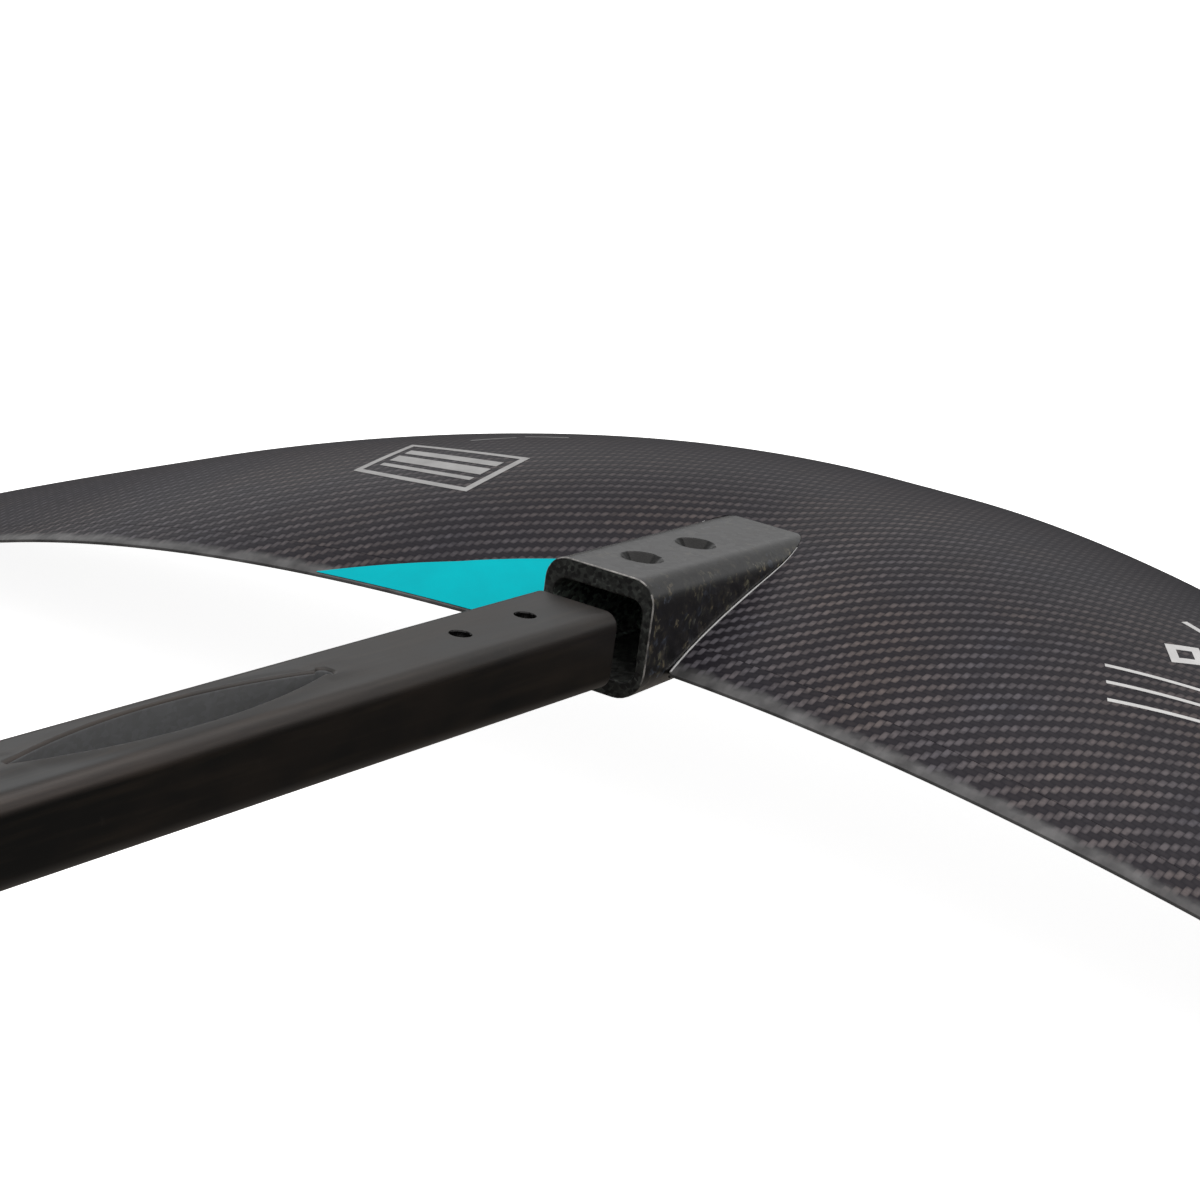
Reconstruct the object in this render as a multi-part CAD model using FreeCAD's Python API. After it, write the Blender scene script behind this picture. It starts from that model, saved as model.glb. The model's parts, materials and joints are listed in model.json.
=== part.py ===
import FreeCAD, Part
import math
import os

# Front wing and fuselage of a hydrofoil, in millimetres.
# The origin is the middle of the mast seat's floor, in the top of the fuselage.
# +X points forward, +Y to the left, +Z up.  The fuselage is drawn pulled out of
# the wing's socket; it slides forward by slide_travel until the screw holes meet.

Vector = FreeCAD.Vector

# ---------------------------------------------------------------- fuselage
seat_depth = 14.0
deck_z = seat_depth                  # height of the fuselage's flat top face
fuselage_half_width = 15.1
fuselage_height = 22.8
fuselage_corner = 4.4
fuselage_wall = 3.0
nose_x = 165.0                       # front end of the fuselage
straight_end_x = -75.0               # the fuselage tapers behind this
tail_x = -475.0
tail_half_width = 11.0
tail_height = 15.0
tail_corner = 3.5
cap_thickness = 3.0
nose_block_length = 67.0
seat_block_half_length = 64.0
tail_block_length = 48.0

# ---------------------------------------------------------------- screws and inserts
screw_spacing = 30.0                 # both pairs of wing screws
m6_clearance_radius = 3.3
m6_thread_radius = 2.5
m6_head_radius = 6.3
m6_head_depth = 3.3
insert_radius = 5.0
insert_length = 12.0
deck_hole_radius = 3.0
rear_nose_screw_x = 110.0
tail_screw_spacing = 24.0
rear_tail_screw_x = -465.0
tail_flat_length = 45.0              # milled flat for the stabiliser
tail_flat_depth = 0.2

# ---------------------------------------------------------------- mast seat
seat_half_length = 55.0
seat_half_width = 7.5
seat_widest_x = -8.0
seat_relief_radius = 2.2
mast_screw_spacing = 60.0
sleeve_radius = 7.5

# ---------------------------------------------------------------- wing socket
slide_travel = 88.0
mouth_x = 176.5                      # rear face of the socket
collar_front_x = 271.0
bore_end_x = 256.0
collar_half_width = 19.0
collar_top_corner = 7.5
collar_bottom_corner = 10.0
bore_corner = 4.6
# top and bottom heights, measured from the deck, at the mouth and at the front end
collar_top = (7.9, 7.2)
collar_bottom = (-29.0, -25.6)
bore_top = (1.6, 0.35)
bore_bottom = (-23.7, -23.15)
bore_half_width = (15.6, 15.4)
bond_gap = 0.6                       # width of the resin bead beside the collar
bead_height = 0.35

# ---------------------------------------------------------------- wing
half_span = 380.0
root_chord = 244.4
planform_power = 2.356
planform_exponent = 0.55
root_te_x = 196.0                    # trailing edge on the centre line, before rounding
root_te_z = -23.8                    # measured from the deck
te_sweep = -0.2883
te_curve = 0.000953
te_rise = 0.1075
te_droop = 0.00085
te_rounding = 10.0
nose_rounding = 25.0
straight_outboard_y = 240.0          # the droop runs on as a straight line from here
root_twist = 0.0098
twist_per_mm = 0.00011
crown_outboard = 0.0911              # height of the upper surface over the chord line
crown_root = 0.046
crown_width = 154.7
belly = 0.020                        # depth of the lower surface under the chord line
hollow_outboard = 0.030              # how far that surface curves back up in the middle
hollow_fill_root = 0.020
hollow_fill_width = 90.0
section_power = 2.6
te_half_thickness = 0.6
waist_depth = 2.6                    # how far the surface sinks beside the socket
waist_width = 60.0
waist_power = 3.1
skin_tip = 0.35
skin_taper = 1.35
skin_end_y = 360.0
# places along the chord, from the leading edge (0) to the trailing edge (1)
nose_end = 0.03
filler_end = 0.09
cap_start = 0.27
web_start = 0.32
web_end = 0.345
cap_end = 0.395
strip_start = 0.95
spar_end_y = 330.0
cap_share = 0.11                     # spar cap thickness as a share of the core's depth
glue_gap = 0.12                      # bond line round every piece inside the skins
glue_share = 0.0006                  # the same gap along the chord

half_stations = [10.0, 20.0, 30.0, 45.0, 65.0, 95.0, 130.0, 165.0, 200.0, 240.0, 275.0, 305.0, 330.0, 347.0,
                 skin_end_y]
tip_stations = [skin_end_y, 366.0, 371.0, 375.0, 378.0, 379.6]


# ================================================================ helpers
def save(shape, name):
    shape.exportStep("parts/" + name + ".step")
    print(name, len(shape.Solids), round(shape.Volume / 1000.0, 2), shape.isValid())


def box(x0, x1, y0, y1, z0, z1):
    return Part.makeBox(x1 - x0, y1 - y0, z1 - z0, Vector(x0, y0, z0))


def upright_cylinder(x, radius, z0, z1):
    return Part.makeCylinder(radius, z1 - z0, Vector(x, 0, z0))


def countersink_from_top(x, z_top):
    bottom = Vector(x, 0, z_top - m6_head_depth)
    cone = Part.makeCone(m6_clearance_radius, m6_head_radius, m6_head_depth, bottom)
    return cone.fuse(upright_cylinder(x, m6_head_radius, z_top, z_top + 5.0))


def rounded_section(x, half_width, top, bottom, top_corner, bottom_corner):
    """Closed rounded rectangle in the plane X = x."""
    def point(y, z):
        return Vector(x, y, z)

    def corner(y, z, side_y, side_z, radius):
        bend = radius * (1.0 - math.sqrt(0.5))
        first = point(y, z - side_z * radius)
        middle = point(y - side_y * bend, z - side_z * bend)
        last = point(y - side_y * radius, z)
        return first, middle, last

    left_top = corner(half_width, top, 1, 1, top_corner)
    right_top = corner(-half_width, top, -1, 1, top_corner)
    right_bottom = corner(-half_width, bottom, -1, -1, bottom_corner)
    left_bottom = corner(half_width, bottom, 1, -1, bottom_corner)
    edges = [
        Part.Arc(*left_top).toShape(),
        Part.LineSegment(left_top[2], right_top[2]).toShape(),
        Part.Arc(*reversed(right_top)).toShape(),
        Part.LineSegment(right_top[0], right_bottom[0]).toShape(),
        Part.Arc(*right_bottom).toShape(),
        Part.LineSegment(right_bottom[2], left_bottom[2]).toShape(),
        Part.Arc(*reversed(left_bottom)).toShape(),
        Part.LineSegment(left_bottom[0], left_top[0]).toShape(),
    ]
    return Part.Wire(edges)


# ================================================================ wing shape
def rounded_abs(y, radius):
    return math.sqrt(y * y + radius * radius) - radius


def chord(y):
    return root_chord * (1.0 - (abs(y) / half_span) ** planform_power) ** planform_exponent


def te_x(y):
    start = root_te_x + te_sweep * te_rounding
    return start + te_sweep * rounded_abs(y, te_rounding) + te_curve * y * y


def le_x(y):
    start = root_te_x + te_sweep * nose_rounding
    return start + te_sweep * rounded_abs(y, nose_rounding) + te_curve * y * y + chord(y)


def te_z(y):
    inboard = min(abs(y), straight_outboard_y)
    outboard = abs(y) - inboard
    start = deck_z + root_te_z + te_rise * te_rounding
    slope = te_rise - 2.0 * te_droop * straight_outboard_y
    return start + te_rise * rounded_abs(inboard, te_rounding) - te_droop * inboard ** 2 + slope * outboard


def le_z(y):
    twist = root_twist - twist_per_mm * min(abs(y), straight_outboard_y)
    return te_z(y) + twist * chord(y)


def bulge(u):
    """Rounded at the leading edge, wedge-shaped at the trailing edge, 1 at its highest."""
    highest = (0.5 / (section_power + 0.5)) ** (1.0 / section_power)
    peak = math.sqrt(highest) * (1.0 - highest ** section_power)
    return math.sqrt(u) * (1.0 - u ** section_power) / peak


def chord_point(u, y):
    return le_x(y) + (te_x(y) - le_x(y)) * u, le_z(y) + (te_z(y) - le_z(y)) * u


def upper(u, y):
    crown = crown_outboard + crown_root * math.exp(-(y / crown_width) ** 2)
    waist = waist_depth * math.exp(-(y / waist_width) ** 2) * math.sin(math.pi * u ** waist_power) ** 2
    return chord_point(u, y)[1] + crown * chord(y) * bulge(u) + te_half_thickness * u - waist


def lower(u, y):
    hollow = hollow_outboard - hollow_fill_root * math.exp(-(y / hollow_fill_width) ** 2)
    depth = belly * bulge(u) - hollow * math.sin(math.pi * u)
    return chord_point(u, y)[1] - depth * chord(y) - te_half_thickness * u


def skin(y):
    return skin_tip + skin_taper * chord(y) / root_chord


def skin_inside_top(u, y):
    return upper(u, y) - skin(y)


def skin_inside_bottom(u, y):
    return lower(u, y) + skin(y)


def core_top(u, y):
    return skin_inside_top(u, y) - glue_gap


def core_bottom(u, y):
    return skin_inside_bottom(u, y) + glue_gap


def cap_thickness_at(y):
    middle = 0.5 * (web_start + web_end)
    return cap_share * (core_top(middle, y) - core_bottom(middle, y))


def cap_underside(u, y):
    return core_top(u, y) - cap_thickness_at(y)


def cap_upper_side(u, y):
    return core_bottom(u, y) + cap_thickness_at(y)


def web_top(u, y):
    return cap_underside(u, y) - glue_gap


def web_bottom(u, y):
    return cap_upper_side(u, y) + glue_gap


def bead_top(u, y):
    return upper(u, y) + bead_height


def surface_point(u, y, height):
    return Vector(chord_point(u, y)[0], y, height(u, y))


def surface_curve(y, u0, u1, height):
    """A smooth edge along the section; points crowd together near the leading edge."""
    count = max(4, int(round(26 * abs(math.sqrt(u1) - math.sqrt(u0)))) + 2)
    points = []
    for i in range(count):
        root = math.sqrt(u0) + (math.sqrt(u1) - math.sqrt(u0)) * i / (count - 1.0)
        points.append(surface_point(root * root, y, height))
    curve = Part.BSplineCurve()
    curve.interpolate(points)
    return curve.toShape()


def rib(y, top_runs, bottom_runs):
    """Closed outline in the plane Y = y.  Each run is (u0, u1, height), front to back."""
    edges = []
    runs = list(top_runs) + [(u1, u0, height) for u0, u1, height in reversed(bottom_runs)]
    for i, (u0, u1, height) in enumerate(runs):
        edges.append(surface_curve(y, u0, u1, height))
        next_u, _, next_height = runs[(i + 1) % len(runs)]
        here = surface_point(u1, y, height)
        there = surface_point(next_u, y, next_height)
        if here.distanceToPoint(there) > 1e-6:
            edges.append(Part.LineSegment(here, there).toShape())
    return Part.Wire(edges)


def span_solid(stations, top_runs, bottom_runs):
    return Part.makeLoft([rib(y, top_runs, bottom_runs) for y in stations], True, False)


def both_ways(stations):
    return [-y for y in reversed(stations)] + [0.0] + list(stations)


def mirrored(shape):
    return shape.mirror(Vector(0, 0, 0), Vector(0, 1, 0))


def save_pair(shape, name):
    save(shape, name + "_left")
    save(mirrored(shape), name + "_right")


# ================================================================ socket
def collar_outside(extra_width):
    sections = []
    for x, top, bottom in zip((mouth_x, collar_front_x), collar_top, collar_bottom):
        sections.append(rounded_section(x, collar_half_width + extra_width, deck_z + top, deck_z + bottom,
                                        collar_top_corner, collar_bottom_corner))
    return Part.makeLoft(sections, True, True)


def collar_bore():
    sections = []
    for x, half_width, top, bottom in zip((mouth_x, bore_end_x), bore_half_width, bore_top, bore_bottom):
        sections.append(rounded_section(x, half_width, deck_z + top, deck_z + bottom, bore_corner, bore_corner))
    return Part.makeLoft(sections, True, True)


def collar_top_at(x):
    share = (x - mouth_x) / (collar_front_x - mouth_x)
    return deck_z + collar_top[0] + (collar_top[1] - collar_top[0]) * share


def wing_screw_positions():
    rear = rear_nose_screw_x + slide_travel
    return [rear, rear + screw_spacing]


def socket_collar():
    collar = collar_outside(0.0).cut(collar_bore())
    for x in wing_screw_positions():
        collar = collar.cut(upright_cylinder(x, m6_clearance_radius, deck_z - 5.0, deck_z + 10.0))
        collar = collar.cut(countersink_from_top(x, collar_top_at(x)))
    return collar


def opened_for_collar(skin_shape, flat_half_width, z0, z1):
    """A skin without the collar's space, and without the slivers over or under its flat side."""
    strip = box(mouth_x, collar_front_x, -flat_half_width, flat_half_width, z0, z1)
    return skin_shape.cut(collar_outside(bond_gap)).cut(strip)


# ================================================================ wing pieces
def slice_of(shape, y0, y1):
    """The part of a full-span shape between two distances left of the middle."""
    return shape.common(box(-100.0, 600.0, y0, y1, -200.0, 200.0))


def full_span_solid(top_runs, bottom_runs):
    """Every full-span piece goes through the same stations, so that their surfaces run parallel."""
    return span_solid(both_ways(half_stations), top_runs, bottom_runs)


def wing_skins():
    top = full_span_solid([(0.0, strip_start, upper)],
                          [(0.0, nose_end, lower), (nose_end, strip_start, skin_inside_top)])
    bottom = full_span_solid([(nose_end, strip_start, skin_inside_bottom)],
                             [(nose_end, strip_start, lower)])
    flat_top = collar_half_width - collar_top_corner
    flat_bottom = collar_half_width - collar_bottom_corner
    middle_z = deck_z - 10.0
    top = opened_for_collar(top, flat_top, middle_z, deck_z + 30.0)
    bottom = opened_for_collar(bottom, flat_bottom, deck_z - 50.0, middle_z)
    return top, bottom


def trailing_edge_strip():
    front = strip_start + glue_share
    strip = full_span_solid([(front, 1.0, upper)], [(front, 1.0, lower)])
    return slice_of(strip, collar_half_width + bond_gap, skin_end_y)


def leading_edge_filler():
    run = (nose_end + glue_share, filler_end)
    filler = full_span_solid([(*run, core_top)], [(*run, core_bottom)])
    return slice_of(filler, 0.5 * glue_gap, skin_end_y)


def spar_part(top_height, bottom_height, u0, u1):
    shape = full_span_solid([(u0, u1, top_height)], [(u0, u1, bottom_height)])
    return slice_of(shape, -spar_end_y, spar_end_y)


def core_front():
    front = filler_end + glue_share
    step = cap_start - glue_share
    back = web_start - glue_share
    core = full_span_solid([(front, step, core_top), (step, back, web_top)],
                           [(front, step, core_bottom), (step, back, web_bottom)])
    return slice_of(core, 0.5 * glue_gap, spar_end_y)


def rear_core_section():
    front = web_end + glue_share
    step = cap_end + glue_share
    back = strip_start - glue_share
    return full_span_solid([(front, step, web_top), (step, back, core_top)],
                           [(front, step, web_bottom), (step, back, core_bottom)])


def core_rear():
    return slice_of(rear_core_section(), collar_half_width + bond_gap, spar_end_y)


def core_tip():
    run = (filler_end + glue_share, strip_start - glue_share)
    core = full_span_solid([(*run, core_top)], [(*run, core_bottom)])
    return slice_of(core, spar_end_y + glue_gap, skin_end_y)


def wing_tip():
    return span_solid(tip_stations, [(0.0, 1.0, upper)], [(0.0, 1.0, lower)])


def root_block():
    """Solid laminate that ties the socket's front end to the spar."""
    edge_y = collar_half_width + bond_gap - glue_gap
    return rear_core_section().common(box(collar_front_x, 600.0, -edge_y, edge_y, -100.0, 100.0))


def seam_bead():
    """Resin line along the side of the collar, from the trailing edge to the top face."""
    inner_y = collar_half_width
    outer_y = collar_half_width + bond_gap
    run = (cap_end, strip_start)
    bead = span_solid([inner_y, outer_y], [(*run, bead_top)], [(*run, skin_inside_top)])
    side_end_z = deck_z + collar_top[1] - collar_top_corner
    return bead.common(box(mouth_x, collar_front_x, 0.0, outer_y, -100.0, side_end_z))


# ================================================================ fuselage pieces
def fuselage_form(inset, x_front, x_back):
    """The fuselage's outside, or the space inside its wall, between two stations."""
    def section(x, half_width, height, corner):
        return rounded_section(x, half_width - inset, deck_z - inset, deck_z - height + inset,
                               corner - 0.5 * inset, corner - 0.5 * inset)

    front = section(nose_x, fuselage_half_width, fuselage_height, fuselage_corner)
    middle = section(straight_end_x, fuselage_half_width, fuselage_height, fuselage_corner)
    tail = section(tail_x, tail_half_width, tail_height, tail_corner)
    form = Part.makeLoft([front, middle], True, True).fuse(Part.makeLoft([middle, tail], True, True))
    if x_front < nose_x or x_back > tail_x:
        form = form.common(box(x_back, x_front, -50.0, 50.0, -50.0, 50.0))
    return form


def nose_screw_positions():
    return [rear_nose_screw_x, rear_nose_screw_x + screw_spacing]


def tail_screw_positions():
    return [rear_tail_screw_x, rear_tail_screw_x + tail_screw_spacing]


def mast_screw_positions():
    return [-0.5 * mast_screw_spacing, 0.5 * mast_screw_spacing]


def seat_pocket():
    front = Vector(seat_half_length, 0, 0)
    back = Vector(-seat_half_length, 0, 0)
    left = Part.Arc(front, Vector(seat_widest_x, seat_half_width, 0), back).toShape()
    right = Part.Arc(back, Vector(seat_widest_x, -seat_half_width, 0), front).toShape()
    pocket = Part.Face(Part.Wire([left, right])).extrude(Vector(0, 0, seat_depth + 5.0))
    relief = upright_cylinder(seat_half_length - seat_relief_radius, seat_relief_radius, 0.0, seat_depth + 5.0)
    return pocket.fuse(relief)


def insert_pocket(x, z_top):
    return upright_cylinder(x, insert_radius, z_top - insert_length, z_top)


def threaded_insert(x, z_top):
    return insert_pocket(x, z_top).cut(upright_cylinder(x, m6_thread_radius, z_top - insert_length, z_top))


def fuselage_bottom_z():
    return deck_z - fuselage_height


def fuselage_shell():
    shell = fuselage_form(0.0, nose_x, tail_x).cut(fuselage_form(fuselage_wall, nose_x, tail_x))
    shell = shell.cut(seat_pocket())
    for x in nose_screw_positions() + tail_screw_positions():
        shell = shell.cut(upright_cylinder(x, deck_hole_radius, deck_z - fuselage_wall - 1.0, deck_z + 1.0))
    for x in mast_screw_positions():
        shell = shell.cut(upright_cylinder(x, sleeve_radius, fuselage_bottom_z() - 1.0, 0.0))
    flat = box(tail_x - 1.0, tail_x + tail_flat_length, -50.0, 50.0, deck_z - tail_flat_depth, deck_z + 5.0)
    return shell.cut(flat)


def nose_block():
    front = nose_x - cap_thickness
    block = fuselage_form(fuselage_wall, front, front - nose_block_length)
    for x in nose_screw_positions():
        block = block.cut(insert_pocket(x, deck_z - fuselage_wall))
    return block


def mast_seat_block():
    block = fuselage_form(fuselage_wall, seat_block_half_length, -seat_block_half_length)
    block = block.cut(seat_pocket())
    for x in mast_screw_positions():
        block = block.cut(upright_cylinder(x, sleeve_radius, -30.0, 0.0))
    return block


def mast_screw_sleeve(x):
    bottom = fuselage_bottom_z()
    sleeve = upright_cylinder(x, sleeve_radius, bottom, 0.0)
    sleeve = sleeve.cut(upright_cylinder(x, m6_clearance_radius, bottom, 0.0))
    sink = Part.makeCone(m6_head_radius, m6_clearance_radius, m6_head_depth, Vector(x, 0, bottom))
    return sleeve.cut(sink)


def tail_block():
    back = tail_x + cap_thickness
    block = fuselage_form(fuselage_wall, back + tail_block_length, back)
    for x in tail_screw_positions():
        block = block.cut(upright_cylinder(x, insert_radius, -50.0, deck_z - fuselage_wall))
    return block


def tail_insert(x):
    body = upright_cylinder(x, insert_radius, -50.0, deck_z - fuselage_wall)
    body = body.common(fuselage_form(fuselage_wall, nose_x, tail_x))
    return body.cut(upright_cylinder(x, m6_thread_radius, -50.0, deck_z))


def main():
    os.makedirs("parts", exist_ok=True)

    top_skin, bottom_skin = wing_skins()
    save(top_skin, "wing_top_skin")
    save(bottom_skin, "wing_bottom_skin")
    save(spar_part(core_top, cap_underside, cap_start, cap_end), "spar_cap_upper")
    save(spar_part(cap_upper_side, core_bottom, cap_start, cap_end), "spar_cap_lower")
    save(spar_part(web_top, web_bottom, web_start, web_end), "spar_web")
    save_pair(core_front(), "core_front")
    save_pair(core_rear(), "core_rear")
    save_pair(core_tip(), "core_tip")
    save_pair(leading_edge_filler(), "leading_edge_filler")
    save_pair(trailing_edge_strip(), "trailing_edge")
    save_pair(wing_tip(), "wing_tip")
    save_pair(seam_bead(), "seam_bead")
    save(socket_collar(), "socket_collar")
    save(root_block(), "root_block")

    save(fuselage_shell(), "fuselage_shell")
    save(fuselage_form(fuselage_wall, nose_x, nose_x - cap_thickness), "nose_cap")
    save(nose_block(), "nose_block")
    for x, place in zip(nose_screw_positions(), ("rear", "front")):
        save(threaded_insert(x, deck_z - fuselage_wall), "nose_insert_" + place)
    nose_block_back = nose_x - cap_thickness - nose_block_length
    save(fuselage_form(fuselage_wall, nose_block_back, seat_block_half_length), "fuselage_core_front")
    save(mast_seat_block(), "mast_seat_block")
    for x, place in zip(mast_screw_positions(), ("rear", "front")):
        save(mast_screw_sleeve(x), "mast_sleeve_" + place)
    tail_block_front = tail_x + cap_thickness + tail_block_length
    save(fuselage_form(fuselage_wall, -seat_block_half_length, tail_block_front), "fuselage_core_rear")
    save(tail_block(), "tail_block")
    for x, place in zip(tail_screw_positions(), ("rear", "front")):
        save(tail_insert(x), "tail_insert_" + place)
    save(fuselage_form(fuselage_wall, tail_x + cap_thickness, tail_x), "tail_cap")


main()
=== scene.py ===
import json
import math

import bmesh
import bpy
from mathutils import Matrix, Vector, noise


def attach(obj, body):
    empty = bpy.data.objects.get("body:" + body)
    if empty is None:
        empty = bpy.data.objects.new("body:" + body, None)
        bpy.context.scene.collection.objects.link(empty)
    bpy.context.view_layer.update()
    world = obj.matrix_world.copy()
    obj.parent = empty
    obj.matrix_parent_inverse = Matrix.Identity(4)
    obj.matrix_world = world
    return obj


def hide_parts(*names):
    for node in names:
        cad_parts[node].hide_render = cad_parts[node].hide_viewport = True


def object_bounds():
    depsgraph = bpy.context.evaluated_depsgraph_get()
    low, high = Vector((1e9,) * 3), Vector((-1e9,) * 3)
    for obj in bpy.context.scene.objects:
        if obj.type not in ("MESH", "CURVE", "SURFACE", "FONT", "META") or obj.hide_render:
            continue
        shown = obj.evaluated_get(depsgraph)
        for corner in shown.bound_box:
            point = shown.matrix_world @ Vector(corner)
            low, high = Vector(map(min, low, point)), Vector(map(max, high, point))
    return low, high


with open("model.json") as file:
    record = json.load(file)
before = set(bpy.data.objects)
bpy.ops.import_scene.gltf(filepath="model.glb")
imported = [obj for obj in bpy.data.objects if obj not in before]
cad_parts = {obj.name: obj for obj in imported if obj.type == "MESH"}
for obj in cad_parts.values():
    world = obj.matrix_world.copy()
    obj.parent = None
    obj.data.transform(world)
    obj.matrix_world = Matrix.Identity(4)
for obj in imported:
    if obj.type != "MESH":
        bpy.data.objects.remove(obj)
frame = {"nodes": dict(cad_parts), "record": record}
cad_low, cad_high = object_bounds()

# Front wing and fuselage of a hydrofoil.  Sizes are in millimetres in the packed
# model's frame (+X forward, +Y left, +Z up) and become metres in make_mesh.
MM = 0.001

# -------- fuselage
deck_z = 14.0
fuselage_half_width = 15.1
fuselage_height = 22.8
fuselage_corner = 4.4
fuselage_wall = 3.0
nose_x = 165.0
straight_end_x = -75.0
tail_x = -475.0
tail_half_width = 11.0
tail_height = 15.0
tail_corner = 3.5
cap_thickness = 3.0
end_rounding = 0.7
nose_screws = (110.0, 140.0)
tail_screws = (-465.0, -441.0)
deck_hole_radius = 3.0
insert_radius = 5.0
insert_length = 12.0
thread_radius = 2.5
thread_pitch = 1.0

# -------- mast seat
seat_half_length = 55.0
seat_half_width = 7.5
seat_widest_x = -8.0
seat_relief_radius = 2.2
seat_block_half_length = 64.0
seat_rim_rounding = 1.1
seat_crown_height = 0.55
seat_crown_width = 3.4
seat_crown_reach = 25.0
mast_screws = (-30.0, 30.0)
sleeve_radius = 7.5

# -------- socket
mouth_x = 176.5
collar_front_x = 271.0
bore_end_x = 256.0
collar_half_width = 19.0
collar_top_corner = 7.5
collar_bottom_corner = 10.0
bore_corner = 4.6
collar_top = (7.9, 7.2)
collar_bottom = (-29.0, -25.6)
bore_top = (1.6, 0.35)
bore_bottom = (-23.7, -23.15)
bore_half_width = (15.6, 15.4)
rim_rounding = 0.5
lip_rounding = 0.5
bond_gap = 0.6
wing_screws = (198.0, 228.0)
screw_radius = 3.3
screw_head_radius = 6.3
screw_head_depth = 3.3

# -------- wing
half_span = 380.0
root_chord = 244.4
planform_power = 2.356
planform_exponent = 0.55
root_te_x = 196.0
root_te_z = -23.8
te_sweep = -0.2883
te_curve = 0.000953
te_rise = 0.1075
te_droop = 0.00085
te_rounding = 10.0
nose_rounding = 25.0
straight_outboard_y = 240.0
root_twist = 0.0098
twist_per_mm = 0.00011
crown_outboard = 0.0911
crown_root = 0.046
crown_width = 154.7
belly = 0.020
hollow_outboard = 0.030
hollow_fill_root = 0.020
hollow_fill_width = 90.0
section_power = 2.6
te_half_thickness = 0.6
waist_depth = 2.6
waist_width = 60.0
waist_power = 3.1
skin_tip = 0.35
skin_taper = 1.35
nose_end = 0.03
strip_start = 0.95
skin_end_y = 360.0
tip_stations = (360.0, 363.0, 366.0, 369.0, 371.5, 374.0, 376.0, 377.5, 378.6, 379.6)


# ======== wing shape
def rounded_abs(y, radius):
    return math.sqrt(y * y + radius * radius) - radius


def chord(y):
    return root_chord * (1.0 - (abs(y) / half_span) ** planform_power) ** planform_exponent


def swept_x(y, rounding):
    start = root_te_x + te_sweep * rounding
    return start + te_sweep * rounded_abs(y, rounding) + te_curve * y * y


def te_x(y):
    return swept_x(y, te_rounding)


def le_x(y):
    return swept_x(y, nose_rounding) + chord(y)


def te_z(y):
    inboard = min(abs(y), straight_outboard_y)
    outboard = abs(y) - inboard
    start = deck_z + root_te_z + te_rise * te_rounding
    slope = te_rise - 2.0 * te_droop * straight_outboard_y
    return start + te_rise * rounded_abs(inboard, te_rounding) - te_droop * inboard ** 2 + slope * outboard


def le_z(y):
    twist = root_twist - twist_per_mm * min(abs(y), straight_outboard_y)
    return te_z(y) + twist * chord(y)


def bulge(u):
    highest = (0.5 / (section_power + 0.5)) ** (1.0 / section_power)
    peak = math.sqrt(highest) * (1.0 - highest ** section_power)
    return math.sqrt(u) * (1.0 - u ** section_power) / peak


def chord_point(u, y):
    return le_x(y) + (te_x(y) - le_x(y)) * u, le_z(y) + (te_z(y) - le_z(y)) * u


def upper(u, y):
    crown = crown_outboard + crown_root * math.exp(-(y / crown_width) ** 2)
    waist = waist_depth * math.exp(-(y / waist_width) ** 2) * math.sin(math.pi * u ** waist_power) ** 2
    return chord_point(u, y)[1] + crown * chord(y) * bulge(u) + te_half_thickness * u - waist


def lower(u, y):
    hollow = hollow_outboard - hollow_fill_root * math.exp(-(y / hollow_fill_width) ** 2)
    depth = belly * bulge(u) - hollow * math.sin(math.pi * u)
    return chord_point(u, y)[1] - depth * chord(y) - te_half_thickness * u


def skin(y):
    return skin_tip + skin_taper * chord(y) / root_chord


def share_at(x, y):
    """How far back along the chord x is, from 0 at the leading edge to 1."""
    return (le_x(y) - x) / (le_x(y) - te_x(y))


def along(u, y, height):
    return Vector((chord_point(u, y)[0], y, height(u, y)))


# ======== mesh helpers
def make_mesh(name, points, faces, cloth):
    """A mesh from points in millimetres; cloth gives each point's place on the cloth and its edges."""
    mesh = bpy.data.meshes.new(name)
    mesh.from_pydata([tuple(MM * v for v in p) for p in points], [], faces)
    if cloth is not None:
        weave = mesh.uv_layers.new(name="weave")
        edges = mesh.uv_layers.new(name="edges")
        for loop in mesh.loops:
            along_x, along_y, from_edge, share = cloth[loop.vertex_index]
            weave.data[loop.index].uv = (MM * along_x, MM * along_y)
            edges.data[loop.index].uv = (MM * from_edge, share)
    tidy_mesh(mesh)
    piece = bpy.data.objects.new(name, mesh)
    bpy.context.scene.collection.objects.link(piece)
    return piece


def tidy_mesh(mesh):
    shape = bmesh.new()
    shape.from_mesh(mesh)
    bmesh.ops.recalc_face_normals(shape, faces=shape.faces)
    shape.to_mesh(mesh)
    shape.free()


def ring_faces(row, next_row, count):
    return [(row + i, row + (i + 1) % count, next_row + (i + 1) % count, next_row + i) for i in range(count)]


def loft(name, rings, closed_path=False, cloth=None):
    """A closed skin through rings with equal numbers of points, capped unless the path closes."""
    count = len(rings[0])
    points = [p for ring in rings for p in ring]
    faces = []
    last = len(rings) if closed_path else len(rings) - 1
    for k in range(last):
        faces += ring_faces(k * count, (k + 1) % len(rings) * count, count)
    if not closed_path:
        faces.append(tuple(reversed(range(count))))
        faces.append(tuple(range(len(points) - count, len(points))))
    return make_mesh(name, points, faces, cloth)


def lathe(name, x, loop_at, segments):
    """Turns a closed loop of (radius, height) round the upright line at X = x."""
    rings = []
    for k in range(segments):
        angle = 2.0 * math.pi * k / segments
        rings.append([(x + r * math.cos(angle), r * math.sin(angle), z) for r, z in loop_at(angle)])
    return loft(name, rings, closed_path=True)


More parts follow.
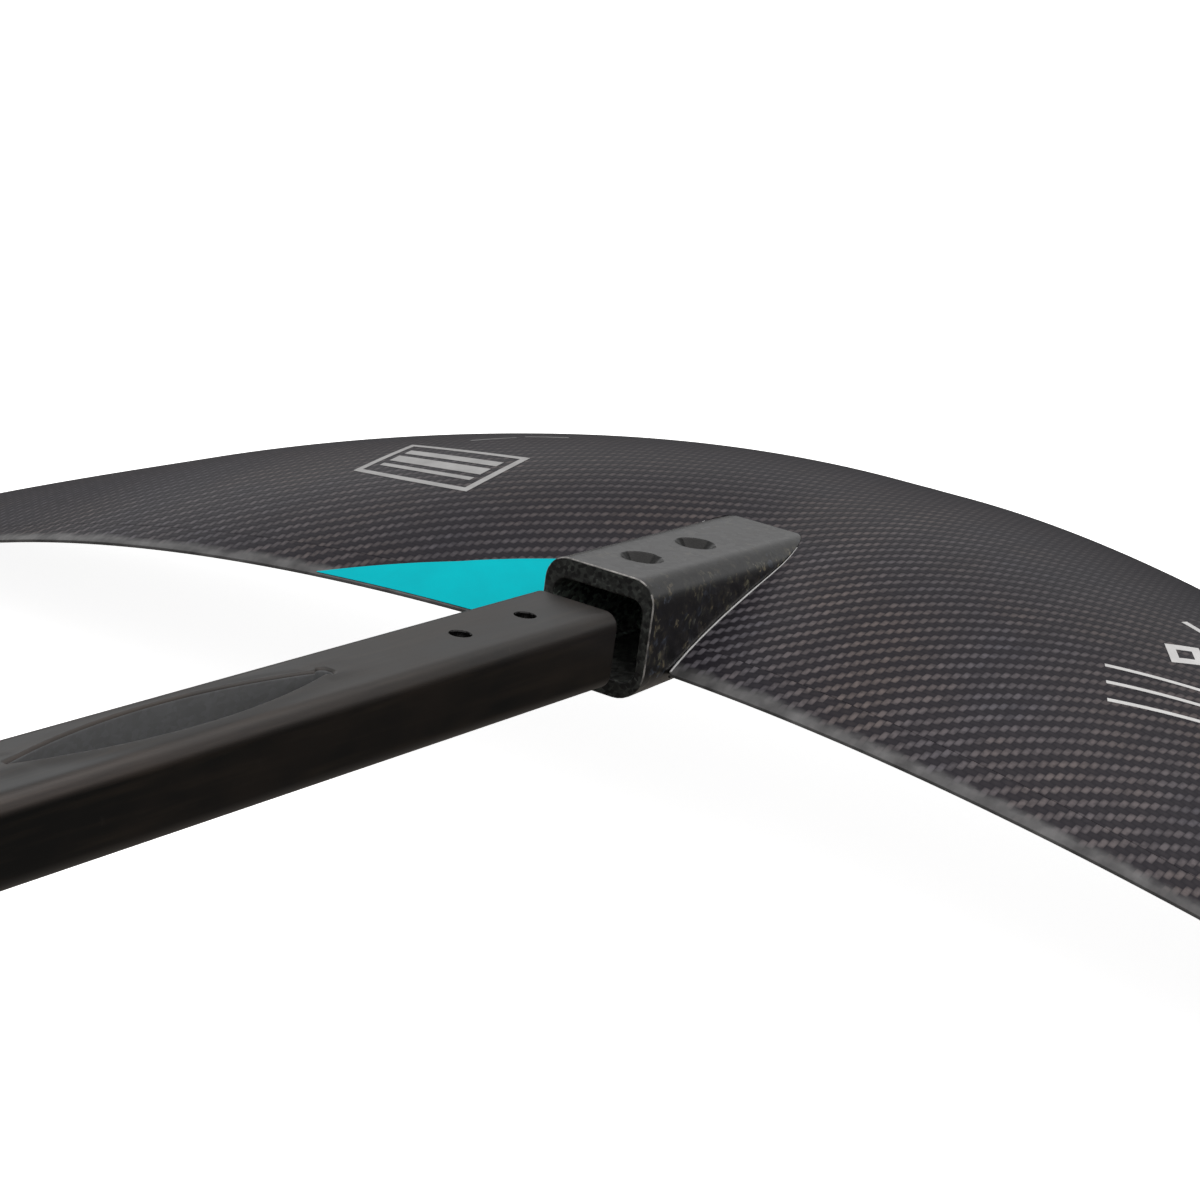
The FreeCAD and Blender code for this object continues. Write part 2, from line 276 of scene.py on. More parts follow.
def plug(name, x, profile_at, segments=64):
    """A solid turned from an open profile that starts and ends on the axis; used for cutting."""
    count = len(profile_at(0.0))
    rings = []
    for level in range(count):
        ring = []
        for k in range(segments):
            angle = 2.0 * math.pi * k / segments
            r, z = profile_at(angle)[level]
            ring.append((x + r * math.cos(angle), r * math.sin(angle), z))
        rings.append(ring)
    return loft(name, rings)


def cut(piece, cutter):
    modifier = piece.modifiers.new("cut", "BOOLEAN")
    modifier.operation = "DIFFERENCE"
    modifier.solver = "EXACT"
    modifier.object = cutter
    graph = bpy.context.evaluated_depsgraph_get()
    result = bpy.data.meshes.new_from_object(piece.evaluated_get(graph))
    piece.modifiers.clear()
    piece.data = result
    bpy.data.objects.remove(cutter)


def rounded_ring(x, half_width, top, bottom, top_corner, bottom_corner, inset, flats):
    """Loop round a rounded rectangle in the plane X = x; flats are the steps along its four sides."""
    corner_steps = 8
    top_radius = max(top_corner - inset, 0.3)
    bottom_radius = max(bottom_corner - inset, 0.3)
    y_top = half_width - inset - top_radius
    y_bottom = half_width - inset - bottom_radius
    z_top = top - inset - top_radius
    z_bottom = bottom + inset + bottom_radius
    corners = [(y_top, z_top, top_radius, 0), (-y_top, z_top, top_radius, 90),
               (-y_bottom, z_bottom, bottom_radius, 180), (y_bottom, z_bottom, bottom_radius, 270)]
    arcs = []
    for y, z, radius, start in corners:
        angles = [math.radians(start + 90.0 * i / corner_steps) for i in range(corner_steps + 1)]
        arcs.append([Vector((x, y + radius * math.cos(a), z + radius * math.sin(a))) for a in angles])
    ring = []
    for k, steps in enumerate(flats):
        ring += arcs[k]
        first, last = arcs[k][-1], arcs[(k + 1) % 4][0]
        ring += [first.lerp(last, i / steps) for i in range(1, steps)]
    return ring


def between(pair, share):
    return pair[0] + (pair[1] - pair[0]) * share


def spread(start, end, count):
    return [start + (end - start) * i / count for i in range(count + 1)]


def quarter_turn(radius, steps, first=1):
    """Steps round a quarter circle, as pairs (short of the end, short of the side)."""
    angles = [math.radians(90.0 * i / steps) for i in range(first, steps + 1)]
    return [(radius * (1.0 - math.sin(a)), radius * (1.0 - math.cos(a))) for a in angles]


def finish_piece(piece, material, body, nodes=(), sharp_degrees=38.0):
    mesh = piece.data
    mesh.materials.clear()
    mesh.materials.append(material)
    mesh.polygons.foreach_set("use_smooth", [True] * len(mesh.polygons))
    mesh.set_sharp_from_angle(angle=math.radians(sharp_degrees))
    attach(piece, body)
    if nodes:
        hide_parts(*nodes)


def weigh_normals(piece):
    """Keeps large flat faces looking flat beside small rounded ones."""
    modifier = piece.modifiers.new("flat faces", "WEIGHTED_NORMAL")
    modifier.keep_sharp = True
    modifier.weight = 80


# ======== material helpers
class Nodes:
    """Short ways to add nodes to an emptied tree."""

    def __init__(self, tree):
        self.tree = tree
        tree.nodes.clear()

    def put(self, socket, value):
        if isinstance(value, bpy.types.NodeSocket):
            self.tree.links.new(value, socket)
        else:
            socket.default_value = value

    def node(self, kind, inputs, **settings):
        made = self.tree.nodes.new("ShaderNode" + kind)
        for key, value in settings.items():
            setattr(made, key, value)
        for key, value in inputs.items():
            self.put(made.inputs[key], value)
        return made

    def math(self, operation, a, b=0.0, c=0.0, clamp=False):
        return self.node("Math", {0: a, 1: b, 2: c}, operation=operation, use_clamp=clamp).outputs[0]

    def times(self, a, b):
        return self.math("MULTIPLY", a, b)

    def plus(self, a, b):
        return self.math("ADD", a, b)

    def axis(self, vector, which):
        return self.node("SeparateXYZ", {0: vector}).outputs[which]

    def place(self):
        return self.node("TexCoord", {}).outputs["Object"]

    def stretched(self, vector, scale, turn=(0.0, 0.0, 0.0)):
        return self.node("Mapping", {"Vector": vector, "Scale": scale, "Rotation": turn}).outputs[0]

    def noise(self, vector, scale, detail=3.0, roughness=0.5, distortion=0.0):
        return self.node("TexNoise", {"Vector": vector, "Scale": scale, "Detail": detail,
                                      "Roughness": roughness, "Distortion": distortion}).outputs[0]

    def range(self, value, low, high, to_low=0.0, to_high=1.0):
        return self.node("MapRange", {"Value": value, "From Min": low, "From Max": high,
                                      "To Min": to_low, "To Max": to_high}).outputs[0]

    def vary(self, value, low, high):
        """Runs from low to high over the middle of a noise."""
        return self.range(value, 0.3, 0.7, low, high)

    def mix(self, share, a, b):
        made = self.node("Mix", {0: share}, data_type="RGBA")
        self.put(made.inputs[6], a)
        self.put(made.inputs[7], b)
        return made.outputs[2]

    def bump(self, height, strength, distance):
        return self.node("Bump", {"Height": height, "Strength": strength, "Distance": distance}).outputs[0]


class Look(Nodes):
    """One material: a Principled surface with constants set on it, and nodes in front of it."""

    def __init__(self, name, **constants):
        self.material = bpy.data.materials.new(name)
        self.material.use_nodes = True
        super().__init__(self.material.node_tree)
        self.surface = self.node("BsdfPrincipled", {})
        self.node("OutputMaterial", {0: self.surface.outputs[0]})
        self.set(**constants)

    def set(self, **links):
        for key, value in links.items():
            self.put(self.surface.inputs[key.replace("_", " ")], value)
        return self.material


def grey(value, warmth=0.0):
    return (value * (1.0 + warmth), value, value * (1.0 - warmth), 1.0)


# ======== materials
tow_along = 0.00175                  # metres from one spanwise tow to the next
tow_across = 0.00203                 # metres from one fore-and-aft tow to the next
cloth_lean = 0.115                   # the fore-and-aft tows lean this much to the right


def twill_pattern(look, s, t):
    """Which way the top tow runs in a 2x2 twill, how far the tow bulges, and each tow's own shade."""
    a = look.math("DIVIDE", s, tow_along)
    b = look.math("DIVIDE", look.math("MULTIPLY_ADD", s, cloth_lean, t), tow_across)
    i = look.math("FLOOR", a)
    j = look.math("FLOOR", b)
    cell = look.math("FLOORED_MODULO", look.plus(i, j), 4.0)
    warp = look.math("LESS_THAN", cell, 1.5)
    lens = []
    for phase, cross, shift in ((look.plus(a, j), b, 0.0), (look.plus(b, i), a, 2.0)):
        run = look.math("SUBTRACT", look.math("FLOORED_MODULO", phase, 4.0), shift)
        length = look.math("SINE", look.times(run, 0.5 * math.pi))
        width = look.math("SINE", look.times(look.math("FRACT", cross), math.pi))
        length = look.math("POWER", look.math("MAXIMUM", length, 0.0), 0.55)
        lens.append(look.times(length, look.math("POWER", width, 0.45)))
    bulge_height = look.node("Mix", {0: warp, 2: lens[1], 3: lens[0]}).outputs[0]
    tow = look.node("Mix", {0: warp, 2: i, 3: look.plus(j, 0.37)}).outputs[0]
    shade = look.node("TexWhiteNoise", {"W": tow}, noise_dimensions="1D").outputs[0]
    return warp, bulge_height, shade


def carbon_twill():
    """Bare cloth under satin resin, with a smooth, lighter grey band without weave where the cloth stops."""
    look = Look("carbon_twill", IOR=1.26, Coat_Weight=0.06, Coat_Roughness=0.26, Coat_IOR=1.45,
                Specular_Tint=(1.0, 0.95, 1.06, 1.0))
    uv = look.node("UVMap", {}, uv_map="weave").outputs[0]
    edges = look.node("SeparateXYZ", {0: look.node("UVMap", {}, uv_map="edges").outputs[0]})
    place = look.place()
    axes = look.node("SeparateXYZ", {0: uv})
    wobble = look.math("MULTIPLY_ADD", look.noise(place, 24.0, 1.0), 0.0016, -0.0008)
    s = look.plus(axes.outputs[0], wobble)
    t = look.plus(axes.outputs[1], wobble)
    warp, height, shade = twill_pattern(look, s, t)
    patches = look.noise(place, 16.0, 3.0, 0.6)
    brown, purple = (0.142, 0.117, 0.112, 1.0), (0.109, 0.102, 0.116, 1.0)
    tint = look.mix(look.range(patches, 0.38, 0.62), brown, purple)
    flecks = look.range(look.noise(place, 520.0, 2.0), 0.30, 0.70, 0.60, 1.25)
    strength = look.times(look.range(shade, 0.0, 1.0, 0.70, 1.20), flecks)
    # Painted sheen: the weave's float crests are painted lighter, one tow direction far more than the other,
    # less towards the leading edge and on the left half; this colour stands in for the light the fibres
    # reflect.
    lens = look.times(look.math("POWER", height, 0.85), strength)
    depth = look.range(edges.outputs[1], 0.20, 0.95, 0.08, 1.0)
    side = look.range(look.axis(place, 1), -0.03, 0.07, 1.0, 0.68)
    direction = look.range(warp, 0.0, 1.0, 0.10, 1.0)
    painted_sheen_share = look.times(look.times(depth, side), direction)
    lit = look.math("MULTIPLY", lens, painted_sheen_share, clamp=True)
    cloth = look.mix(lit, (0.0085, 0.0074, 0.0110, 1.0), tint)
    ragged = look.math("MULTIPLY_ADD", look.noise(place, 95.0, 4.0, 0.6), 0.0050, -0.0025)
    from_edge = look.plus(edges.outputs[0], ragged)
    bare = look.range(from_edge, 0.0020, 0.0046, 1.0, 0.0)
    # The band without weave along the trailing edge is drawn a lighter grey.
    edge_band = look.mix(look.range(look.noise(place, 110.0, 3.0), 0.3, 0.7), grey(0.075), grey(0.190))
    colour = look.mix(look.times(bare, 0.85), cloth, edge_band)
    fine = look.noise(place, 900.0, 2.0)
    weave_relief = look.times(height, look.math("SUBTRACT", 1.0, bare))
    relief = look.plus(weave_relief, look.times(fine, 0.10))
    waves = look.noise(place, 60.0, 2.0)
    rough = look.math("SUBTRACT", look.range(height, 0.0, 1.0, 0.50, 0.38), look.times(bare, 0.08))
    return look.set(
        Base_Color=colour,
        Roughness=rough,
        Normal=look.bump(relief, 0.30, 0.00010),
        Coat_Normal=look.bump(waves, 0.10, 0.0004))


def forged_carbon():
    look = Look("forged_carbon", IOR=1.43, Coat_Weight=0.85, Coat_Roughness=0.20, Coat_IOR=1.5)
    place = look.place()
    shake = look.node("TexNoise", {"Vector": place, "Scale": 220.0}).outputs[1]
    bend = look.node("VectorMath", {0: shake, 1: (0.0022, 0.0022, 0.0022)}, operation="MULTIPLY").outputs[0]
    warped = look.node("VectorMath", {0: place, 1: bend}, operation="ADD").outputs[0]
    flakes = []
    for scale, stretch in ((520.0, (0.8, 1.0, 0.70)), (1200.0, (0.9, 1.0, 0.60))):
        cells = look.node("TexVoronoi", {"Vector": look.stretched(warped, stretch), "Scale": scale})
        flakes.append(look.node("SeparateColor", {0: cells.outputs["Color"]}))
    fibres = look.noise(look.stretched(warped, (1.0, 1.0, 0.25)), 2600.0, 2.0)
    brightness = look.times(flakes[0].outputs[0], look.range(flakes[1].outputs[0], 0.0, 1.0, 0.2, 1.3))
    brightness = look.times(look.math("POWER", brightness, 2.6), look.vary(fibres, 0.4, 1.3))
    clouds = look.range(look.noise(place, 75.0, 2.0), 0.35, 0.62, 0.15, 1.15)
    # Painted shade: flakes are drawn darker on faces that point up, standing in for the coat's bright
    # reflection that hides them on top.
    upright = look.axis(look.node("NewGeometry", {}).outputs["Normal"], 2)
    painted_top_dimming = look.range(upright, 0.45, 0.95, 1.0, 0.16)
    brightness = look.times(look.times(brightness, clouds), painted_top_dimming)
    warm = look.mix(flakes[1].outputs[1], (0.190, 0.155, 0.100, 1.0), (0.100, 0.108, 0.078, 1.0))
    hue = look.mix(look.range(flakes[0].outputs[2], 0.68, 0.80), warm, (0.070, 0.085, 0.115, 1.0))
    colour = look.mix(brightness, (0.0022, 0.0022, 0.0026, 1.0), hue)
    ripple = look.noise(place, 120.0, 3.0)
    return look.set(
        Base_Color=colour,
        Roughness=look.range(flakes[0].outputs[1], 0.0, 1.0, 0.40, 0.52),
        Normal=look.bump(look.plus(ripple, look.times(fibres, 0.15)), 0.14, 0.00025),
        Coat_Normal=look.bump(ripple, 0.07, 0.0003))


def rim_painted_highlight():
    """The socket's rim; its light grey colour is a painted highlight along the rounded edge."""
    look = Look("rim_painted_highlight", IOR=1.5, Coat_Weight=0.6, Coat_Roughness=0.2)
    place = look.place()
    rim_mottle = look.noise(place, 240.0, 4.0, 0.65)
    return look.set(
        Base_Color=look.mix(look.range(rim_mottle, 0.40, 0.62), grey(0.110, 0.03), grey(0.420, 0.04)),
        Roughness=look.vary(rim_mottle, 0.30, 0.45),
        Normal=look.bump(rim_mottle, 0.2, 0.0002))


def cut_wall():
    """Drilled walls sealed with clear resin, so they catch the light."""
    look = Look("cut_wall", IOR=1.3, Coat_Weight=0.35, Coat_Roughness=0.12, Coat_IOR=1.4)
    place = look.place()
    chatter = look.noise(look.stretched(place, (1.0, 1.0, 5.0)), 900.0, 3.0, 0.6)
    pits = look.noise(place, 1500.0, 2.0)
    return look.set(
        Base_Color=look.mix(look.range(chatter, 0.45, 0.65), grey(0.001), grey(0.008, 0.02)),
        Roughness=look.vary(pits, 0.20, 0.36),
        Normal=look.bump(look.plus(chatter, pits), 0.25, 0.00012))


def fuselage_carbon():
    look = Look("fuselage_carbon", IOR=1.44, Coat_Weight=0.18, Coat_Roughness=0.25)
    place = look.place()
    long_streaks = look.noise(look.stretched(place, (0.06, 1.0, 1.0)), 420.0, 4.0, 0.6)
    clouds = look.noise(look.stretched(place, (0.5, 1.0, 1.0)), 38.0, 4.0, 0.6, 0.4)
    grain = look.noise(place, 2200.0, 2.0)
    colour = look.mix(look.range(clouds, 0.42, 0.66), grey(0.0050), (0.0130, 0.0098, 0.0075, 1.0))
    colour = look.mix(look.range(long_streaks, 0.50, 0.72, 0.0, 0.70), colour, (0.024, 0.018, 0.013, 1.0))
    turned = look.stretched(place, (1.0, 0.25, 1.0), (0.0, 0.0, 0.5))
    scuffs = look.range(look.noise(turned, 260.0, 5.0, 0.75), 0.66, 0.72)
    colour = look.mix(look.times(scuffs, 0.25), colour, grey(0.05, 0.1))
    # Painted highlight, over the real brownish streaks: faces turning up and sideways at the shoulders, more
    # towards the mast seat and along the streaks, are painted light brown for the highlight band they show.
    facing = look.node("SeparateXYZ", {0: look.node("NewGeometry", {}).outputs["Normal"]})
    shoulder = look.times(look.math("ABSOLUTE", facing.outputs[1]), facing.outputs[2])
    aft = look.range(look.axis(place, 0), 0.10, -0.12, 0.10, 1.0)
    streaked = look.range(long_streaks, 0.3, 0.6, 0.5, 1.0)
    painted_shoulder_sheen = look.times(look.range(shoulder, 0.05, 0.42), streaked)
    colour = look.mix(look.times(painted_shoulder_sheen, aft), colour, (0.066, 0.050, 0.042, 1.0))
    relief = look.plus(look.times(long_streaks, 0.5), look.times(grain, 0.06))
    return look.set(
        Base_Color=colour,
        Roughness=look.vary(clouds, 0.34, 0.42),
        Normal=look.bump(relief, 0.10, 0.00025),
        Coat_Normal=look.bump(clouds, 0.06, 0.0005))


def rough_laminate(name, dark, light, bump_strength=0.5):
    look = Look(name, IOR=1.45, Coat_Weight=0.15, Coat_Roughness=0.45)
    place = look.place()
    chips = look.node("TexVoronoi", {"Vector": look.stretched(place, (0.6, 1.0, 1.0)), "Scale": 900.0})
    clouds = look.noise(place, 300.0, 4.0, 0.65)
    share = look.times(look.node("SeparateColor", {0: chips.outputs["Color"]}).outputs[0], clouds)
    return look.set(
        Base_Color=look.mix(look.range(share, 0.1, 0.6), dark, light),
        Roughness=look.vary(clouds, 0.5, 0.7),
        Normal=look.bump(clouds, bump_strength, 0.0003))


# Painted highlight on a real bead: the seam's light grey colour stands in for the bright line of light along
# the joint; its gloss is real.
def seam_resin():
    look = Look("seam_resin", IOR=1.5, Coat_Weight=0.6, Coat_Roughness=0.12, Metallic=0.3)
    place = look.place()
    flow = look.noise(look.stretched(place, (0.4, 1.0, 1.0)), 300.0, 3.0)
    return look.set(
        Base_Color=look.mix(look.vary(flow, 0.0, 1.0), grey(0.34), grey(0.62)),
        Roughness=look.vary(flow, 0.20, 0.34),
        Normal=look.bump(flow, 0.12, 0.0002))


def machined_steel():
    look = Look("machined_steel", IOR=2.5, Metallic=1.0)
    place = look.place()
    turned = look.noise(look.stretched(place, (1.0, 1.0, 14.0)), 700.0, 3.0)
    stain = look.noise(place, 500.0, 3.0)
    return look.set(
        Base_Color=look.mix(look.range(stain, 0.35, 0.7), grey(0.50), grey(0.24, 0.06)),
        Roughness=look.vary(turned, 0.24, 0.42),
        Normal=look.bump(turned, 0.25, 0.0001))


def foam_core():
    look = Look("foam_core", IOR=1.4)
    place = look.place()
    cells = look.node("TexVoronoi", {"Vector": place, "Scale": 1400.0}).outputs[0]
    clouds = look.noise(place, 60.0, 3.0)
    return look.set(
        Base_Color=look.mix(clouds, (0.78, 0.70, 0.50, 1.0), (0.66, 0.56, 0.36, 1.0)),
        Roughness=look.vary(clouds, 0.85, 0.95),
        Normal=look.bump(cells, 0.7, 0.0004))


def print_ink(name, colour, worn):
    look = Look(name, IOR=1.12)
    place = look.place()
    mottle = look.noise(place, 90.0, 4.0, 0.6)
    speck = look.noise(place, 1600.0, 2.0)
    return look.set(
        Base_Color=look.mix(look.range(mottle, 0.35, 0.70), colour, worn),
        Roughness=look.vary(speck, 0.38, 0.5),
        Normal=look.bump(speck, 0.08, 0.0001))


twill_material = carbon_twill()
collar_material = forged_carbon()
fuselage_material = fuselage_carbon()
rim_highlight_material = rim_painted_highlight()
wall_material = cut_wall()
seat_material = rough_laminate("seat_laminate", grey(0.145, -0.02), grey(0.175, -0.03), 0.10)
raw_material = rough_laminate("raw_laminate", grey(0.006), (0.062, 0.068, 0.062, 1.0), 0.9)
# Painted light: a much lighter copy of the raw laminate, for the bore's left inner wall where light falls.
lit_bore_material = rough_laminate("painted_lit_bore_laminate", grey(0.020), (0.240, 0.300, 0.265, 1.0), 0.9)
inner_material = rough_laminate("inner_laminate", grey(0.012), grey(0.05))
seam_highlight_material = seam_resin()
steel_material = machined_steel()
foam_material = foam_core()
turquoise_ink = print_ink("turquoise_ink", (0.0, 0.540, 0.620, 1.0), (0.001, 0.500, 0.580, 1.0))
white_ink = print_ink("white_ink", grey(0.72), grey(0.60))
grey_ink = print_ink("grey_ink", grey(0.30), grey(0.22))
badge_ink = print_ink("badge_ink", grey(0.44), grey(0.34))


# ======== wing skins
notch_y = collar_half_width + bond_gap
arc_y = notch_y - collar_top_corner
keel_arc_y = notch_y - collar_bottom_corner


def collar_share(x):
    return (x - mouth_x) / (collar_front_x - mouth_x)


def collar_top_at(x):
    return deck_z + between(collar_top, collar_share(x))


def collar_bottom_at(x):
    return deck_z + between(collar_bottom, collar_share(x))


def collar_shoulder_z(x, y):
    """Height of the widened collar's rounded top corner."""
    across = min(max(abs(y) - arc_y, 0.0), collar_top_corner)
    return collar_top_at(x) - collar_top_corner + math.sqrt(collar_top_corner ** 2 - across ** 2)


def collar_keel_z(x, y):
    across = min(max(abs(y) - keel_arc_y, 0.0), collar_bottom_corner)
    return collar_bottom_at(x) + collar_bottom_corner - math.sqrt(collar_bottom_corner ** 2 - across ** 2)


def crossing_x(y, gap_at):
    """Where a skin meets the collar's corner, searched forward from the mouth."""
    low, high = te_x(y) + 2.0, collar_front_x
    if gap_at(high) < 0.0:
        return high
    for _ in range(40):
        middle = 0.5 * (low + high)
        if gap_at(middle) < 0.0:
            low = middle
        else:
            high = middle
    return high


def upper_notch_x(y):
    return crossing_x(y, lambda x: upper(share_at(x, y), y) - collar_shoulder_z(x, y))


def lower_notch_x(y):
    return crossing_x(y, lambda x: collar_keel_z(x, y) - lower(share_at(x, y), y))


def columns_across():
    inside = [0.0, 3.0, 6.0, 9.0, 11.0, arc_y, 13.2, 14.4, 15.6, 16.7, 17.6, 18.4, 19.0, 19.4, notch_y]
    outside = [notch_y + (skin_end_y - notch_y) * (i / 84.0) ** 1.05 for i in range(1, 85)]
    half = inside + outside
    return [-y for y in reversed(half[1:])] + half


def arc_table(y):
    """Distance along the upper surface from the trailing edge, at evenly spread roots of u."""
    total = 0.0
    table = [(1.0, 0.0)]
    here = along(1.0, y, upper)
    for k in range(59, -1, -1):
        u = (k / 60.0) ** 2
        there = along(u, y, upper)
        total += (there - here).length
        table.append((u, total))
        here = there
    return table


def arc_at(table, u):
    for (u1, s1), (u0, s0) in zip(table, table[1:]):
        if u >= u0:
            return s1 + (s0 - s1) * (u1 - u) / (u1 - u0)
    return table[-1][1]


def cloth_at(table, u, y):
    """Place on the cloth, distance from the trailing edge and share of the chord."""
    from_edge = arc_at(table, u)
    return te_x(y) + from_edge, y, from_edge, u


def thick_sheet(name, outer, inner, cloth=None):
    """A closed sheet from two grids of points, outer[row][column]; None marks what is missing."""
    rows, columns = len(outer), len(outer[0])
    index = {}
    points, point_cloth = [], []
    for side, grid in enumerate((outer, inner)):
        for r in range(rows):
            for c in range(columns):
                if grid[r][c] is not None:
                    index[side, r, c] = len(points)
                    points.append(grid[r][c])
                    if cloth:
                        point_cloth.append(cloth[r][c])
    faces = []
    edges = {}
    for r in range(rows - 1):
        for c in range(columns - 1):
            corners = [(r, c), (r, c + 1), (r + 1, c + 1), (r + 1, c)]
            if any((0,) + corner not in index for corner in corners):
                continue
            faces.append(tuple(index[(0,) + corner] for corner in corners))
            faces.append(tuple(index[(1,) + corner] for corner in reversed(corners)))
            for first, second in zip(corners, corners[1:] + corners[:1]):
                edges[first, second] = edges.get((first, second), 0) + 1
    for first, second in edges:
        if (second, first) not in edges:
            rim = ((0, second), (0, first), (1, first), (1, second))
            faces.append(tuple(index[(side,) + corner] for side, corner in rim))
    return make_mesh(name, points, faces, point_cloth or None)


def wing_upper_skin():
    """The upper skin, from a little way under the nose back to the solid trailing edge."""
    far_from_edge = 99.0
    columns = columns_across()
    corner_share = share_at(upper_notch_x(notch_y), notch_y)
    nose_rows = 5
    front_rows = 46
    rear_rows = 14
    outer, inner, cloth = [], [], []
    tables = {abs(y): arc_table(abs(y)) for y in columns}
    notches = {}
    for y in columns:
        notches[y] = share_at(upper_notch_x(abs(y)), abs(y)) if abs(y) < notch_y else corner_share
    for k in range(nose_rows, 0, -1):
        u = nose_end * (k / nose_rows) ** 2
        share = 0.5 * (nose_rows - k) / nose_rows
        outer.append([along(u, y, lower) for y in columns])
        inner.append([nose_inside(y, 0.06 + share) for y in columns])
        under = [(along(u, y, lower) - along(0.0, y, lower)).length for y in columns]
        girths = [tables[abs(y)][-1][1] + past for y, past in zip(columns, under)]
        cloth.append([(te_x(y) + girth, y, far_from_edge, 0.0) for y, girth in zip(columns, girths)])
    for k in range(front_rows + 1):
        outer_row, inner_row, cloth_row = [], [], []
        for y in columns:
            u = notches[y] * (k / front_rows) ** 1.7
            outer_row.append(along(u, y, upper))
            if u <= nose_end:
                inner_row.append(nose_inside(y, 0.56 + 0.43 * u / nose_end))
            else:
                inner_row.append(along(u, y, lambda u, y: upper(u, y) - skin(y)))
            cloth_row.append(cloth_at(tables[abs(y)], u, y))
        outer.append(outer_row)
        inner.append(inner_row)
        cloth.append(cloth_row)
    for k in range(1, rear_rows + 1):
        u = corner_share + (strip_start - corner_share) * k / rear_rows
        keep = [abs(y) >= notch_y - 1e-6 for y in columns]
        outer.append([along(u, y, upper) if there else None for y, there in zip(columns, keep)])
        inner.append([along(u, y, upper) - Vector((0, 0, skin(y))) if there else None
                      for y, there in zip(columns, keep)])
        cloth.append([cloth_at(tables[abs(y)], u, y) for y in columns])
    return thick_sheet("wing_upper_skin", outer, inner, cloth)


def nose_inside(y, share):
    """Points up the inside of the nose, where the upper skin ends."""
    bottom = along(nose_end, y, lower)
    top = along(nose_end, y, upper) - Vector((0, 0, skin(y)))
    return bottom.lerp(top, share)


def wing_lower_skin():
    columns = columns_across()
    corner_share = share_at(lower_notch_x(notch_y), notch_y)
    front_rows = 40
    rear_rows = 16
    outer, inner, cloth = [], [], []
    for k in range(front_rows + rear_rows + 1):
        outer_row, inner_row, cloth_row = [], [], []
        for y in columns:
            inboard = abs(y) < notch_y - 1e-6
            notch = share_at(lower_notch_x(abs(y)), abs(y)) if inboard else corner_share
            if k <= front_rows:
                u = nose_end + (notch - nose_end) * (k / front_rows) ** 1.4
            else:
                u = notch + (strip_start - notch) * (k - front_rows) / rear_rows
            point = along(u, y, lower)
            missing = inboard and k > front_rows
            outer_row.append(None if missing else point)
            inner_row.append(None if missing else point + Vector((0, 0, skin(y))))
            cloth_row.append((point.x, y, point.x - te_x(y), 1.0))
        outer.append(outer_row)
        inner.append(inner_row)
        cloth.append(cloth_row)
    return thick_sheet("wing_lower_skin", outer, inner, cloth)


def section_ring(y, u_front):
    """Loop round the rear of a wing section, with a rounded trailing edge."""
    steps, tail_steps = 8, 4
    front = [u_front + (1.0 - u_front) * i / steps for i in range(steps)]
    radius = 0.5 * (upper(1.0, y) - lower(1.0, y))
    x_end, z_end = chord_point(1.0, y)
    ring = [along(u, y, upper) for u in front]
    for i in range(tail_steps + 1):
        angle = math.pi * (0.5 - i / tail_steps)
        x = x_end + radius * (0.6 - math.cos(angle) * 0.6)
        ring.append(Vector((x, y, z_end + radius * math.sin(angle))))
    ring += [along(u, y, lower) for u in reversed(front)]
    return ring


def rear_edge(side):
    stations = [notch_y + (skin_end_y - notch_y) * i / 90.0 for i in range(91)]
    rings = [mirrored(section_ring(y, strip_start + 0.0006), side) for y in stations]
    return loft("rear_edge_" + side, rings, cloth=ring_cloth(rings))


def ring_cloth(rings):
    """Place on the cloth for every point of rings, and how near it is to the wing's edge."""
    cloth = []
    for ring in rings:
        for point in ring:
            from_edge = max(point.x - te_x(point.y), 0.0)
            from_tip = 1.2 * (half_span - abs(point.y))
            cloth.append((te_x(point.y) + from_edge, point.y, min(from_edge, from_tip), 1.0))
    return cloth


def mirrored(points, side):
    sign = 1.0 if side == "left" else -1.0
    return [Vector((p.x, sign * p.y, p.z)) for p in points]


def wing_tip(side):
    rings = []
    for y in tip_stations:
        upper_side = [along((k / 24.0) ** 1.8, y, upper) for k in range(25)]
        lower_side = [along((k / 24.0) ** 1.8, y, lower) for k in range(24, 0, -1)]
        rings.append(mirrored(upper_side + lower_side, side))
    return loft("tip_" + side, rings, cloth=ring_cloth(rings))


finish_piece(wing_upper_skin(), twill_material, "wing", ["wing_top_skin"])
finish_piece(wing_lower_skin(), twill_material, "wing", ["wing_bottom_skin"])
for side in ("left", "right"):
    finish_piece(rear_edge(side), twill_material, "wing", ["trailing_edge_" + side])
    finish_piece(wing_tip(side), twill_material, "wing", ["wing_tip_" + side])


# ======== socket collar
rim_wobble_seed = 1
noise.seed_set(rim_wobble_seed)      # without a seed, noise_vector differs from run to run


def roughened(point, amount):
    return point + noise.noise_vector(point * 0.9) * amount


def collar_outer_ring(x, inset=0.0):
    at = max(x, mouth_x)
    return rounded_ring(x, collar_half_width, collar_top_at(at), collar_bottom_at(at),
                        collar_top_corner, collar_bottom_corner, inset, flats=(16, 12, 12, 12))


def collar_bore_ring(x, outset=0.0):
    share = (x - mouth_x) / (bore_end_x - mouth_x)
    return rounded_ring(x, between(bore_half_width, share), deck_z + between(bore_top, share),
                        deck_z + between(bore_bottom, share), bore_corner, bore_corner, -outset,
                        flats=(16, 12, 12, 12))


